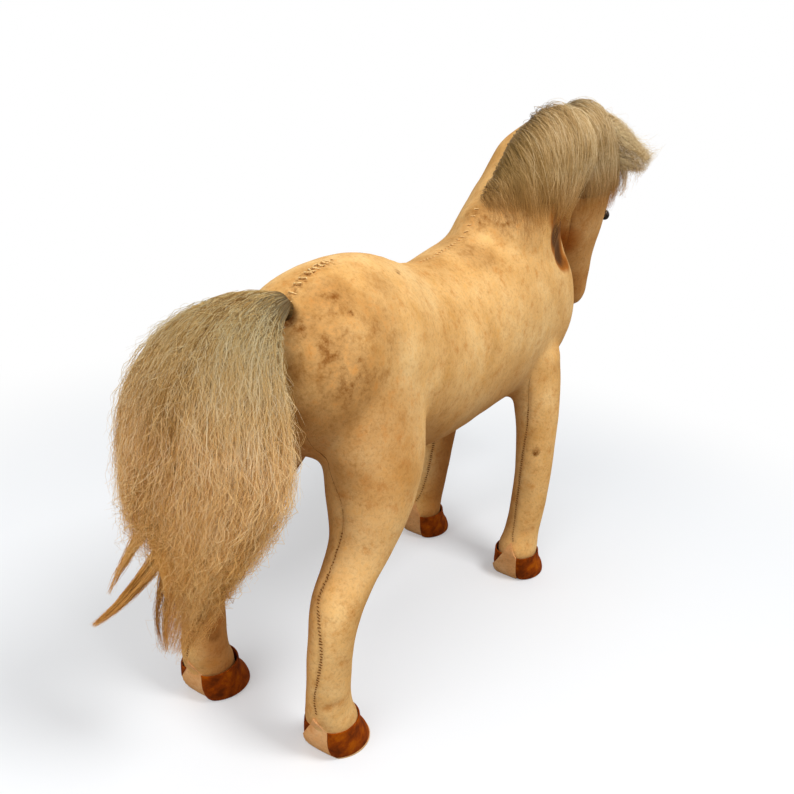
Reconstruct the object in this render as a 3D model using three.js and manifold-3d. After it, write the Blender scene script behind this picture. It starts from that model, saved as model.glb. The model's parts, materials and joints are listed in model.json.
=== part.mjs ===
import * as THREE from "three";
import { mergeVertices } from "three/addons/utils/BufferGeometryUtils.js";
import Module from "manifold-3d";

// A hard-stuffed felt toy horse that stands on its four feet. Millimetres, +Z up.
// It faces -Y, so its right side is -X. Every form of felt is stuffed firmly, so the
// torso, neck, head and legs are lofts through stations, cut where one is sewn to the next.

const wasm = await Module();
wasm.setup();

// Driving sizes of the stuffed body. The neck's base and the fore feet are set back from the
// front of the chest, the top of the head is set ahead of the neck's base, and the hind feet
// and the tail's root are set in from the rump's end.
const bodyLength = 300;
const bodyDepth = 110;
const bodyWidth = 80;
const bodyMiddleHeight = 172;
const rumpLength = 126;
const chestLength = bodyLength - rumpLength;
const neckLength = 118;
const neckDepth = 88;
const neckWidth = 54;
const neckBaseHeight = 188;
const neckBaseOffset = 80;
const headLength = 142;
const headDepth = 64;
const headWidth = 45;
const headTopHeight = 290;
const headTopOffset = 74;
const neckBaseY = neckBaseOffset - chestLength;
const headTopY = neckBaseY - headTopOffset;

// Driving sizes of the legs and feet
const foreLegHeight = 150;
const hindLegHeight = 186;
const foreFootOffset = 65;
const hindFootOffset = 18;
const foreStanceWidth = 76;
const hindStanceWidth = 75;
const foreStaggerOffset = 3;
const hindStaggerOffset = 2;
const cannonWidth = 22;
const cannonDepth = 25;
const footLength = 35;
const footWidth = 29;
const toePanelHeight = 18;
const heelSeamHeight = 26;
const heelGussetWidth = 14;
const feltThickness = 1.4;
const legWireDiameter = 2.4;
const wireClearance = 0.3;

// Driving sizes of the ears, eyes, hair and the tail's root
const earLength = 24;
const earWidth = 14;
const earThickness = 3;
const eyeDiameter = 7;
const eyeShankDiameter = 1.8;
const eyeShankLength = 8;
const tailLength = 180;
const tailArchLength = 38;
const tailWidth = 84;
const tailDepth = 40;
const tailRootDiameter = 11;
const tailRootLength = 13;
const tailRootHeight = 221;
const tailRootOffset = 8;
const tailRootY = rumpLength - tailRootOffset;
const maneThickness = 9;
const maneFrontOffset = 20;
const maneBackOffset = 42;
const maneFrontY = headTopY - maneFrontOffset;
const maneBackY = neckBaseY + maneBackOffset;
const maneFringeHeight = 240;
const forelockLength = 56;
const forelockWidth = 28;
const forelockThickness = 18;
const gap = 0.3;

// How finely the forms are faceted
const capRings = 2;
const wireSides = 6;
const beadSides = 12;
const domeSteps = 6;

const feltColour = "#d9a866";
const paleFeltColour = "#e3b381";
const velvetColour = "#7a3208";
const mohairColour = "#b39a6c";
const steelColour = "#8d8f92";
const beadColour = "#0d0c0c";
const threadColour = "#cdb688";

// Moves smoothly through a list of numbers, whose knots lie at even steps of t from 0 to 1.
function along(values, t) {
  const span = values.length - 1;
  const step = Math.min(Math.floor(t * span), span - 1);
  const part = t * span - step;
  const at = (index) => values[Math.min(Math.max(index, 0), span)];
  const rise = (index) => (at(index + 1) - at(index - 1)) / 2;
  const near = (1 + 2 * part) * at(step) + part * rise(step);
  const far = (3 - 2 * part) * at(step + 1) + (part - 1) * rise(step + 1);
  return (1 - part) ** 2 * near + part ** 2 * far;
}

// Where a form's section stands at t: its centre, its heading, and its two directions. The
// sections of a level form lie flat, and the others stand square to the form's path.
function station(form, t) {
  const place = (share) =>
    new THREE.Vector3(...[0, 1, 2].map((axis) => along(form.path.map((row) => row[axis]), share)));
  const nudge = 1 / (form.rings * 8);
  const heading = form.level
    ? new THREE.Vector3(0, 0, -1)
    : place(Math.min(t + nudge, 1)).sub(place(Math.max(t - nudge, 0))).normalize();
  const across = new THREE.Vector3(...(form.across ?? [1, 0, 0]));
  const side = across.addScaledVector(heading, -across.dot(heading)).normalize();
  const top = new THREE.Vector3().crossVectors(heading, side);
  return { centre: place(t), heading, side, top };
}

// A point on a form's section at t and an angle from its top, with the section's half sizes
// padded by swell and scaled, and with a raised seam along the top where ridge says so.
function skinPoint(form, t, angle, swell, scale, shift) {
  const { centre, heading, side, top } = station(form, t);
  const halfWidth = Math.max(along(form.width, t) + swell, gap) * scale;
  const halfDepth = Math.max(along(form.depth, t) + swell, gap) * scale;
  const crest = Math.cos(angle) > 0 ? (form.ridge ?? 0) * (1 - Math.abs(Math.sin(angle))) ** 2 : 0;
  return centre
    .addScaledVector(heading, shift)
    .addScaledVector(side, halfWidth * Math.sin(angle))
    .addScaledVector(top, halfDepth * (Math.cos(angle) + crest));
}

// A closed loft: rings of skin points along the form's path between two round ends.
function loft(form, swell) {
  const { sides, rings, startCap, endCap } = form;
  const sections = [];
  const addSection = (t, shift, scale) => sections.push({ t, shift, scale });
  const turns = Array.from({ length: capRings }, (_, index) => {
    return ((index + 1) / (capRings + 1)) * (Math.PI / 2);
  });
  for (const turn of [...turns].reverse()) {
    addSection(0, -(startCap + swell) * Math.sin(turn), Math.cos(turn));
  }
  for (let ring = 0; ring <= rings; ring += 1) addSection(ring / rings, 0, 1);
  for (const turn of turns) addSection(1, (endCap + swell) * Math.sin(turn), Math.cos(turn));

  const points = [skinPoint(form, 0, 0, swell, 0, -(startCap + swell))];
  for (const { t, shift, scale } of sections) {
    for (let index = 0; index < sides; index += 1) {
      points.push(skinPoint(form, t, (index / sides) * Math.PI * 2, swell, scale, shift));
    }
  }
  points.push(skinPoint(form, 1, 0, swell, 0, endCap + swell));

  const corner = (section, index) => 1 + section * sides + (index % sides);
  const last = points.length - 1;
  const faces = [];
  for (let index = 0; index < sides; index += 1) {
    faces.push(0, corner(0, index), corner(0, index + 1));
    for (let section = 0; section + 1 < sections.length; section += 1) {
      const [a, b] = [corner(section, index), corner(section, index + 1)];
      const [c, d] = [corner(section + 1, index), corner(section + 1, index + 1)];
      faces.push(a, c, b, b, c, d);
    }
    faces.push(last, corner(sections.length - 1, index + 1), corner(sections.length - 1, index));
  }
  const geometry = new THREE.BufferGeometry().setFromPoints(points);
  geometry.setIndex(faces);
  return geometry;
}

// Makes a closed geometry a solid that can be joined and cut, with its faces pointing out.
function solid(geometry) {
  const bare = geometry.clone();
  bare.deleteAttribute("normal");
  bare.deleteAttribute("uv");
  const merged = mergeVertices(bare);
  const vertProperties = new Float32Array(merged.getAttribute("position").array);
  const faces = merged.getIndex().array;
  const whole = (corner, index) => {
    const [a, b, c] = faces.slice(index - (index % 3), index - (index % 3) + 3);
    return a !== b && b !== c && c !== a;
  };
  const triVerts = new Uint32Array(faces.filter(whole));
  const made = new wasm.Manifold(new wasm.Mesh({ numProp: 3, vertProperties, triVerts }));
  if (made.volume() > 0) return made;
  triVerts.reverse();
  return new wasm.Manifold(new wasm.Mesh({ numProp: 3, vertProperties, triVerts }));
}

const stuffed = (form, swell = 0) => solid(loft(form, swell));

// A block between two corners.
function block([x0, y0, z0], [x1, y1, z1]) {
  const box = new THREE.BoxGeometry(x1 - x0, y1 - y0, z1 - z0);
  return solid(box.translate((x0 + x1) / 2, (y0 + y1) / 2, (z0 + z1) / 2));
}

// An outline of [back, up] points, extruded across the horse from one X to another.
function sideBlock(outline, fromX, toX) {
  const shape = new THREE.Shape(outline.map(([back, up]) => new THREE.Vector2(back, up)));
  const prism = new THREE.ExtrudeGeometry(shape, { depth: toX - fromX, bevelEnabled: false });
  const turned = prism.rotateX(Math.PI / 2).rotateZ(Math.PI / 2);
  return solid(turned.translate(fromX, 0, 0));
}

const horse = new THREE.Group();

function addPart(name, shape, color, roughness, metalness = 0) {
  const result = shape.getMesh();
  const geometry = new THREE.BufferGeometry();
  geometry.setAttribute("position", new THREE.Float32BufferAttribute(result.vertProperties, 3));
  geometry.setIndex(Array.from(result.triVerts));
  const faceted = geometry.toNonIndexed();
  faceted.computeVertexNormals();
  const mesh = new THREE.Mesh(
    faceted,
    new THREE.MeshStandardMaterial({ color, roughness, metalness }),
  );
  mesh.name = name;
  horse.add(mesh);
}

// Torso: two side panels closed by an overcast seam along the back, which stands up as a
// ridge. Each row is [along, middle, depth, width], from the rump to the chest.
const torsoShares = [
  [0.02, 1.118, 0.44, 0.6],
  [0.06, 1.108, 0.69, 0.85],
  [0.127, 1.09, 0.82, 0.98],
  [0.213, 1.064, 0.89, 1.04],
  [0.327, 1.004, 0.88, 1.01],
  [0.447, 0.972, 0.92, 1.0],
  [0.573, 0.985, 0.97, 0.99],
  [0.7, 1.008, 1.04, 0.97],
  [0.813, 1.0, 1.03, 0.9],
  [0.907, 0.972, 0.89, 0.84],
  [0.967, 0.95, 0.64, 0.7],
];
const torsoEndShare = 0.03;
const torso = {
  path: torsoShares.map(([share, middle]) => {
    return [0, rumpLength - share * bodyLength, middle * bodyMiddleHeight];
  }),
  depth: torsoShares.map((row) => (row[2] * bodyDepth) / 2),
  width: torsoShares.map((row) => (row[3] * bodyWidth) / 2),
  ridge: 0.06,
  sides: 24,
  rings: 20,
  startCap: bodyLength * torsoEndShare,
  endCap: bodyLength * torsoEndShare,
};

// Neck: it rises from the shoulders and leans forward. Each row is [forward, up, depth,
// width], the first two in neck lengths from its root in the torso.
const neckShares = [
  [0.0, 0.0, 1.27, 1.08],
  [0.136, 0.203, 1.29, 1.04],
  [0.22, 0.381, 1.09, 0.96],
  [0.295, 0.54, 0.88, 0.84],
  [0.385, 0.63, 0.63, 0.74],
  [0.49, 0.68, 0.5, 0.64],
];
const neckEndShare = 0.1;
const neck = {
  path: neckShares.map(([forward, up]) => {
    return [0, neckBaseY - forward * neckLength, neckBaseHeight + up * neckLength];
  }),
  depth: neckShares.map((row) => (row[2] * neckDepth) / 2),
  width: neckShares.map((row) => (row[3] * neckWidth) / 2),
  ridge: 0.05,
  sides: 20,
  rings: 10,
  startCap: neckLength * neckEndShare,
  endCap: neckLength * neckEndShare,
};

// Head: carried with the nose low, deep at the cheek and narrow at the muzzle. Each row is
// [forward, down, depth, width], the first two in head lengths from the top of the skull.
const headShares = [
  [0.04, 0.06, 0.6, 0.68],
  [0.14, 0.2, 0.94, 0.98],
  [0.23, 0.36, 1.06, 1.1],
  [0.288, 0.52, 0.9, 0.92],
  [0.34, 0.68, 0.64, 0.66],
  [0.385, 0.8, 0.52, 0.56],
  [0.415, 0.9, 0.44, 0.5],
];
const headEndShare = 0.065;
const head = {
  path: headShares.map(([forward, down]) => {
    return [0, headTopY - forward * headLength, headTopHeight - down * headLength];
  }),
  depth: headShares.map((row) => (row[2] * headDepth) / 2),
  width: headShares.map((row) => (row[3] * headWidth) / 2),
  sides: 20,
  rings: 13,
  startCap: headLength * headEndShare,
  endCap: headLength * headEndShare,
};

// Legs: each row is [out, back, up, depth, width] from inside the torso to the pastern.
// Out is in half stance widths, back in cannon depths, up in leg heights, and depth and
// width in those of the cannon.
const foreLegShares = [
  [0.62, -0.42, 1.0, 1.8, 1.5],
  [0.8, -0.42, 0.82, 1.42, 1.34],
  [0.92, -0.36, 0.66, 1.12, 1.16],
  [0.98, -0.32, 0.5, 1.03, 1.07],
  [1.0, -0.26, 0.34, 0.99, 1.03],
  [1.0, -0.14, 0.2, 1.0, 1.02],
];
const hindLegShares = [
  [0.58, -1.3, 1.0, 2.3, 1.8],
  [0.74, -1.24, 0.84, 2.5, 1.95],
  [0.84, -1.1, 0.7, 2.05, 1.85],
  [0.93, -0.7, 0.575, 1.52, 1.35],
  [0.97, 0.0, 0.47, 1.24, 1.12],
  [1.0, 0.25, 0.37, 1.0, 0.98],
  [1.0, 0.25, 0.27, 0.96, 0.96],
  [1.0, 0.16, 0.16, 1.0, 1.0],
];

// Foot: a bell that flares to the toe and tucks in under the heel. Each row is
// [forward, up, depth, width], up in heel seam heights and the rest in foot sizes.
const footShares = [
  [-0.02, 0.78, 0.83, 0.88],
  [0.05, 0.45, 0.92, 0.94],
  [0.16, 0.2, 1.02, 1.02],
  [0.24, 0.0, 0.98, 1.0],
];

const legs = [];
for (const [where, shares, height, back, stance, stagger] of [
  ["fore", foreLegShares, foreLegHeight, foreFootOffset - chestLength, foreStanceWidth, -foreStaggerOffset],
  ["hind", hindLegShares, hindLegHeight, rumpLength - hindFootOffset, hindStanceWidth, hindStaggerOffset],
]) {
  for (const [hand, side] of [["right", -1], ["left", 1]]) {
    const outX = (side * stance) / 2;
    const footY = back + side * stagger;
    const upper = shares.map(([out, rear, up]) => [out * outX, footY + rear * cannonDepth, up * height]);
    const lower = footShares.map(([forward, up]) => {
      return [outX, footY - forward * footLength, up * heelSeamHeight];
    });
    const form = {
      path: [...upper, ...lower],
      depth: [
        ...shares.map((row) => (row[3] * cannonDepth) / 2),
        ...footShares.map((row) => (row[2] * footLength) / 2),
      ],
      width: [
        ...shares.map((row) => (row[4] * cannonWidth) / 2),
        ...footShares.map((row) => (row[3] * footWidth) / 2),
      ],
      level: true,
      sides: 14,
      rings: upper.length + lower.length + 3,
      startCap: cannonDepth / 3,
      endCap: feltThickness,
    };
    legs.push({ where, hand, outX, footY, form });
  }
}

const torsoGrown = stuffed(torso, gap);
const neckGrown = stuffed(neck, gap);
const headGrown = stuffed(head, gap);
let torsoSolid = stuffed(torso);
let headSolid = stuffed(head).subtract(neckGrown);

// Each leg's wire runs up from the foot through the stuffing and on into the torso.
function wireForm(leg, radius) {
  const path = leg.form.path.slice(0, -3);
  return {
    path,
    depth: path.map(() => radius),
    width: path.map(() => radius),
    sides: wireSides,
    rings: path.length,
    startCap: radius,
    endCap: radius,
  };
}

// A foot has a velvet panel round the toe, and a sole of pale felt whose tongue is turned up
// the heel to a point on the back seam. Both are let into the leg flush with its skin.
let legsGrown = null;
for (const { where, hand, outX, footY, form } of legs) {
  const reach = footLength * 2;
  const under = (height) => {
    return block([outX - reach, footY - reach, -reach], [outX + reach, footY + reach, height]);
  };
  const outer = stuffed(form).subtract(under(0));
  const lining = (inset) => stuffed(form, -inset).subtract(under(inset));
  const tongue = (extra) => {
    const halfTongue = heelGussetWidth / 2 + extra;
    const shape = new THREE.Shape([
      new THREE.Vector2(-halfTongue, -feltThickness),
      new THREE.Vector2(halfTongue, -feltThickness),
      new THREE.Vector2(halfTongue, toePanelHeight),
      new THREE.Vector2(0, heelSeamHeight + extra),
      new THREE.Vector2(-halfTongue, toePanelHeight),
    ]);
    const prism = new THREE.ExtrudeGeometry(shape, { depth: footLength, bevelEnabled: false });
    return solid(prism.rotateX(Math.PI / 2).translate(outX, footY + footLength, 0));
  };
  const wrap = outer.subtract(lining(feltThickness));
  const toe = wrap
    .intersect(under(toePanelHeight))
    .subtract(tongue(gap))
    .subtract(under(feltThickness + gap));
  const sole = outer.intersect(under(feltThickness)).add(wrap.intersect(tongue(0)));
  const letIn = under(toePanelHeight + gap).add(tongue(gap)).subtract(lining(feltThickness + gap));
  const wire = stuffed(wireForm({ form }, legWireDiameter / 2));
  const bore = stuffed(wireForm({ form }, legWireDiameter / 2 + wireClearance));
  const leg = outer.subtract(letIn).subtract(torsoGrown).subtract(bore);
  const grown = stuffed(form, gap);
  legsGrown = legsGrown ? legsGrown.add(grown) : grown;
  torsoSolid = torsoSolid.subtract(bore);
  addPart(`${where}_leg_${hand}`, leg, feltColour, 0.95);
  addPart(`${where}_toe_${hand}`, toe, velvetColour, 0.9);
  addPart(`${where}_sole_${hand}`, sole, paleFeltColour, 0.95);
  addPart(`${where}_wire_${hand}`, wire, steelColour, 0.35, 1);
}

// Tail's root: the hank of hair, whipped with thread and sewn into a slot in the rump. It ends
// in a dome round the point where the hair bends, which the lifted tail turns about.
const rootHeading = new THREE.Vector3(0, Math.cos(Math.PI / 5), Math.sin(Math.PI / 5));
function rootPlug(clearance) {
  const radius = tailRootDiameter / 2 + clearance;
  const depth = tailRootLength + clearance;
  const profile = [new THREE.Vector2(0, -depth), new THREE.Vector2(radius, -depth)];
  for (let step = 0; step <= domeSteps; step += 1) {
    const angle = ((step / domeSteps) * Math.PI) / 2;
    profile.push(new THREE.Vector2(radius * Math.cos(angle), radius * Math.sin(angle)));
  }
  const turn = new THREE.Quaternion().setFromUnitVectors(new THREE.Vector3(0, 1, 0), rootHeading);
  const plug = new THREE.LatheGeometry(profile, domeSteps * 4).applyQuaternion(turn);
  return solid(plug.translate(0, tailRootY, tailRootHeight));
}
torsoSolid = torsoSolid.subtract(rootPlug(gap));
addPart("tail_root", rootPlug(0), threadColour, 0.9);

// Tail: a thick hank that springs out of the slot, arches back and falls to the left hock.
// Each row is [out, back, down, depth, width]: back in arch lengths, the rest in tail sizes.
const tailShares = [
  [0.0, 0.065, 0.0, 0.3, 0.16],
  [0.0, 0.5, 0.0, 0.38, 0.38],
  [0.01, 0.88, 0.06, 0.6, 0.62],
  [0.03, 1.03, 0.17, 0.82, 0.84],
  [0.07, 1.03, 0.32, 0.94, 0.99],
  [0.11, 1.06, 0.47, 0.92, 0.86],
  [0.14, 1.07, 0.59, 0.8, 0.7],
  [0.165, 1.0, 0.74, 0.6, 0.5],
  [0.18, 1.0, 0.88, 0.35, 0.3],
];
const lockShares = [
  [0.14, 1.08, 0.45, 0.3, 0.15],
  [0.28, 1.2, 0.62, 0.25, 0.11],
  [0.45, 1.42, 0.76, 0.14, 0.06],
  [0.565, 1.57, 0.825, 0.05, 0.025],
];
const tailEndShare = 0.04;
function hank(shares, rings) {
  return {
    path: shares.map(([out, back, down]) => {
      return [out * tailWidth, tailRootY + back * tailArchLength, tailRootHeight - down * tailLength];
    }),
    depth: shares.map((row) => (row[3] * tailDepth) / 2),
    width: shares.map((row) => (row[4] * tailWidth) / 2),
    sides: 14,
    rings,
    startCap: gap,
    endCap: tailLength * tailEndShare,
  };
}
const tail = stuffed(hank(tailShares, 14))
  .add(stuffed(hank(lockShares, 5)))
  .subtract(torsoGrown)
  .subtract(legsGrown)
  .subtract(rootPlug(gap));
addPart("tail_hair", tail, mohairColour, 0.8);

// Eyes: black beads drawn into the cheeks by a shank, which is tied off in the stuffing.
const eyePlaceShare = 0.5;
const eyeAngle = Math.PI / 3.4;
for (const [hand, side] of [["right", -1], ["left", 1]]) {
  const seat = skinPoint(head, eyePlaceShare, side * eyeAngle, 0, 1, 0);
  const inward = station(head, eyePlaceShare).centre.sub(seat).normalize();
  const bead = (radius, shankRadius, shankLength) => {
    const profile = [new THREE.Vector2(0, -radius)];
    const neckAngle = Math.acos(shankRadius / radius);
    for (let step = 1; step <= beadSides / 2; step += 1) {
      const angle = -Math.PI / 2 + (step / (beadSides / 2)) * (Math.PI / 2 + neckAngle);
      profile.push(new THREE.Vector2(radius * Math.cos(angle), radius * Math.sin(angle)));
    }
    profile.push(new THREE.Vector2(shankRadius, shankLength), new THREE.Vector2(0, shankLength));
    const turn = new THREE.Quaternion().setFromUnitVectors(new THREE.Vector3(0, 1, 0), inward);
    const turned = new THREE.LatheGeometry(profile, beadSides).applyQuaternion(turn);
    return solid(turned.translate(seat.x, seat.y, seat.z));
  };
  headSolid = headSolid.subtract(
    bead(eyeDiameter / 2 + gap, eyeShankDiameter / 2 + gap, eyeShankLength + gap),
  );
  addPart(`eye_${hand}`, bead(eyeDiameter / 2, eyeShankDiameter / 2, eyeShankLength), beadColour, 0.08);
}

// Ears: small leaves of two layers of felt, sewn to the temples and drooping forward.
// Each row is [out, forward, down, width] from the ear's root.
const earShares = [
  [0.0, 0.0, 0.0, 0.6],
  [0.12, 0.2, 0.22, 1.0],
  [0.26, 0.42, 0.5, 0.86],
  [0.34, 0.56, 0.78, 0.3],
];
const earOutShare = 0.44;
const earForwardShare = 0.28;
const earDownShare = 0.19;
let earsGrown = null;
for (const [hand, side] of [["right", -1], ["left", 1]]) {
  const form = {
    path: earShares.map(([out, forward, down]) => [
      side * (earOutShare * headWidth + out * earLength),
      headTopY - earForwardShare * headLength - forward * earLength,
      headTopHeight - earDownShare * headLength - down * earLength,
    ]),
    depth: earShares.map(() => earThickness / 2),
    width: earShares.map((row) => (row[3] * earWidth) / 2),
    across: [side * 0.4, 1, -0.6],
    sides: 10,
    rings: 6,
    startCap: earThickness,
    endCap: earThickness,
  };
  const grown = stuffed(form, gap);
  earsGrown = earsGrown ? earsGrown.add(grown) : grown;
  addPart(`ear_${hand}`, stuffed(form).subtract(headGrown).subtract(neckGrown), feltColour, 0.95);
}

// Mane: hair rooted along the crest and combed over the right side of the neck, cut off in
// a level fringe. It lies on the neck and the back of the head like a second skin.
const maneSide = [
  [maneBackY, maneFringeHeight],
  [maneBackY, headTopHeight],
  [headTopY, headTopHeight + headDepth],
  [maneFrontY, headTopHeight + headDepth],
  [maneFrontY, maneFringeHeight + maneThickness],
  [headTopY, maneFringeHeight],
];
const maneZone = sideBlock(maneSide, -bodyWidth, maneThickness / 3);
const mane = stuffed(neck, maneThickness)
  .add(stuffed(head, maneThickness))
  .intersect(maneZone)
  .subtract(neckGrown)
  .subtract(headGrown)
  .subtract(torsoGrown)
  .subtract(earsGrown);
addPart("mane", mane, mohairColour, 0.8);

// Forelock: the hair of the poll, brushed forward and out over the right eye. Each row is
// [out, forward, down, depth, width], the first three in forelock lengths.
const forelockShares = [
  [0.02, -0.05, 0.05, 1.0, 0.9],
  [-0.18, 0.18, 0.16, 1.0, 1.0],
  [-0.4, 0.4, 0.3, 0.84, 0.8],
  [-0.6, 0.57, 0.43, 0.5, 0.5],
  [-0.73, 0.69, 0.52, 0.2, 0.2],
];
const forelockForm = {
  path: forelockShares.map(([out, forward, down]) => [
    out * forelockLength,
    maneFrontY - forward * forelockLength,
    headTopHeight - down * forelockLength,
  ]),
  depth: forelockShares.map((row) => (row[3] * forelockThickness) / 2),
  width: forelockShares.map((row) => (row[4] * forelockWidth) / 2),
  across: [1, 0.8, 0],
  sides: 12,
  rings: 8,
  startCap: gap,
  endCap: gap,
};
const behindForelock = block(
  [-bodyWidth, maneFrontY - gap, 0],
  [bodyWidth, 0, headTopHeight + headLength],
);
const forelock = stuffed(forelockForm)
  .subtract(behindForelock)
  .subtract(headGrown)
  .subtract(neckGrown)
  .subtract(earsGrown);
addPart("forelock", forelock, mohairColour, 0.8);

addPart("torso", torsoSolid, feltColour, 0.95);
addPart("neck", stuffed(neck).subtract(torsoGrown), feltColour, 0.95);
addPart("head", headSolid, feltColour, 0.95);

// The horse stands on the ground, with the middle of its length and width at the origin.
const box = new THREE.Box3().setFromObject(horse, true);
const middle = box.getCenter(new THREE.Vector3());
horse.position.set(-middle.x, -middle.y, -box.min.z);

export default horse;
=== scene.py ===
import json
import math
import random

import bmesh
import bpy
import numpy as np
from mathutils import Matrix, Vector, noise
from mathutils.bvhtree import BVHTree
from mathutils.kdtree import KDTree


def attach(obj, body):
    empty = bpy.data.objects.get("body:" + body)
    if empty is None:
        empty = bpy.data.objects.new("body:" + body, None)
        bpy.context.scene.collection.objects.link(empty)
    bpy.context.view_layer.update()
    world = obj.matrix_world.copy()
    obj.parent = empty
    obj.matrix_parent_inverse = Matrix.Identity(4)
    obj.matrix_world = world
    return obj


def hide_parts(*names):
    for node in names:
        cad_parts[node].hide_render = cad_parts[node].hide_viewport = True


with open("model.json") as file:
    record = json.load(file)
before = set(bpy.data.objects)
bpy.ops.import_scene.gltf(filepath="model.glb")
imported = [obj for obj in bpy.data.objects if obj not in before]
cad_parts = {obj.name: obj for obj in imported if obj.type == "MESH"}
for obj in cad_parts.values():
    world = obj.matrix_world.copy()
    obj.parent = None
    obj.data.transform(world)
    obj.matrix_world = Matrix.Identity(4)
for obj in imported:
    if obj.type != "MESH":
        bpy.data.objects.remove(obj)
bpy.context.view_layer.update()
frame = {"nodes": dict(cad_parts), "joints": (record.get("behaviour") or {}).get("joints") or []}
random.seed(31)


# Camera: it looks from behind the horse's right hip, a little down and a little tilted.
# Places are given in millimetres: to the horse's left, to its tail and up, from a point on
# the floor that lies 118 mm before the bend of the tail.
tail_bend = Vector(frame["joints"][0]["pos_m"])
floor_point = Vector((0, tail_bend.y - 0.118, 0))


def spot(left, back, up):
    """A place in the frame, given in millimetres."""
    return floor_point + Vector((left, back, up)) / 1000


camera_target, camera_distance = spot(34.4, -52.8, 120), 0.6134
camera_turn, camera_rise, camera_tilt = (math.radians(angle) for angle in (209.42, 21.46, 6.0))
camera_back = Vector((
    math.sin(camera_turn) * math.cos(camera_rise),
    -math.cos(camera_turn) * math.cos(camera_rise),
    math.sin(camera_rise),
))
level_right = Vector((math.cos(camera_turn), math.sin(camera_turn), 0))
camera_right = Matrix.Rotation(camera_tilt, 3, camera_back) @ level_right
scene = bpy.context.scene
camera = bpy.data.objects.new("camera", bpy.data.cameras.new("camera"))
camera.data.lens = 45.34
camera.data.sensor_width = 36
camera.matrix_world = Matrix.Translation(camera_target + camera_back * camera_distance) @ Matrix(
    (camera_right, camera_back.cross(camera_right), camera_back)
).transposed().to_4x4()
scene.collection.objects.link(camera)
scene.camera = camera


# Skin: a cover of wool felt, each side cut in one with its legs, sewn up and packed so hard
# with stuffing that it keeps the shape of its pattern. Each form is a sheet rolled round its
# stuffing, and all of them are drawn into one cover that swells smoothly from form to form.
def glide(rows, share):
    """A row between the rows of a table, for a share of the way from its first to its last."""
    span = len(rows) - 1
    step = min(int(share * span), span - 1)
    part = share * span - step
    before, here, there, after = (rows[min(max(step + move, 0), span)] for move in (-1, 0, 1, 2))
    near = (1 + 2 * part) * here + part * (there - before) / 2
    far = (3 - 2 * part) * there + (part - 1) * (after - here) / 2
    return (1 - part) ** 2 * near + part**2 * far


class Form:
    """A rounded form whose rows are [left, back, up, half depth, half width]. The sections of
    a level form lie flat, and the others stand square to the form's path."""

    def __init__(self, rows, caps=(5, 5), level=False, ridge=0, across=(1, 0, 0)):
        self.rows = np.array(rows, float)
        self.caps, self.level, self.ridge, self.across = caps, level, ridge, Vector(across)

    def station(self, share):
        """The row at a share, with the directions of its path, its width and its depth."""
        row = glide(self.rows, share)
        ahead = glide(self.rows, min(share + 0.01, 1)) - glide(self.rows, max(share - 0.01, 0))
        heading = Vector((0, 0, -1)) if self.level else Vector(ahead[:3]).normalized()
        side = (self.across - heading * self.across.dot(heading)).normalized()
        return row, heading, side, heading.cross(side)

    def point(self, share, angle, swell=0, shift=0, scale=1):
        """A place on the form, at a share along it and an angle round it."""
        row, heading, side, top = self.station(share)
        crest = self.ridge * (1 - abs(math.sin(angle))) ** 2 if math.cos(angle) > 0 else 0
        place = Vector(row[:3]) + heading * shift
        place += side * (row[4] + swell) * scale * math.sin(angle)
        place += top * (row[3] + swell) * scale * (math.cos(angle) + crest)
        return spot(*place)

    def share_at(self, height):
        """The share at which a form that runs down reaches a height."""
        low, high = 0.0, 1.0
        for _ in range(14):
            middle = (low + high) / 2
            low, high = (middle, high) if glide(self.rows, middle)[2] > height else (low, middle)
        return low


def held(value):
    """A value held between 0 and 1."""
    return min(max(value, 0), 1)


def roll_sheet(bm, form, around, along, swell=lambda height: 0):
    """Rolls a sheet round a form, sews its long edges together and gathers its ends."""
    end = 0.07
    sheet = bmesh.ops.create_grid(bm, x_segments=around, y_segments=along, size=1)["verts"]
    for vert in sheet:
        angle, share = (vert.co.x + 1) * math.pi, (vert.co.y + 1) / 2
        inner = held((share - end) / (1 - 2 * end))
        past = max(end - share, share - 1 + end, 0) / end * math.pi / 2
        cap = form.caps[share > 0.5] * (1 if share > 0.5 else -1)
        grown = swell(glide(form.rows, inner)[2])
        vert.co = form.point(inner, angle, grown, cap * math.sin(past), max(math.cos(past), 0))
    bmesh.ops.remove_doubles(bm, verts=sheet, dist=1e-6)
    return [vert for vert in sheet if vert.is_valid]


torso = Form(
    [(0, 126 - 300 * share, 172 * middle, 55 * depth, 40 * width) for share, middle, depth, width in (
        (0.02, 1.118, 0.44, 0.6), (0.06, 1.108, 0.69, 0.85), (0.127, 1.09, 0.82, 0.98),
        (0.213, 1.064, 0.89, 1.04), (0.327, 1.004, 0.88, 1.01), (0.447, 0.972, 0.92, 1.0),
        (0.573, 0.985, 0.97, 0.99), (0.7, 1.008, 1.04, 0.97), (0.813, 1.0, 1.03, 0.9),
        (0.907, 0.972, 0.89, 0.84), (0.967, 0.95, 0.64, 0.7),
    )],
    caps=(9, 9), ridge=0.06,
)
neck = Form(
    [(0, -94 - 118 * ahead, 188 + 118 * up, 44 * depth, 27 * width) for ahead, up, depth, width in (
        (0.0, 0.0, 1.27, 1.08), (0.136, 0.203, 1.29, 1.04), (0.22, 0.381, 1.09, 0.96),
        (0.295, 0.54, 0.88, 0.84), (0.385, 0.63, 0.63, 0.74), (0.49, 0.68, 0.5, 0.64),
    )],
    caps=(12, 12), ridge=0.05,
)
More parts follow.
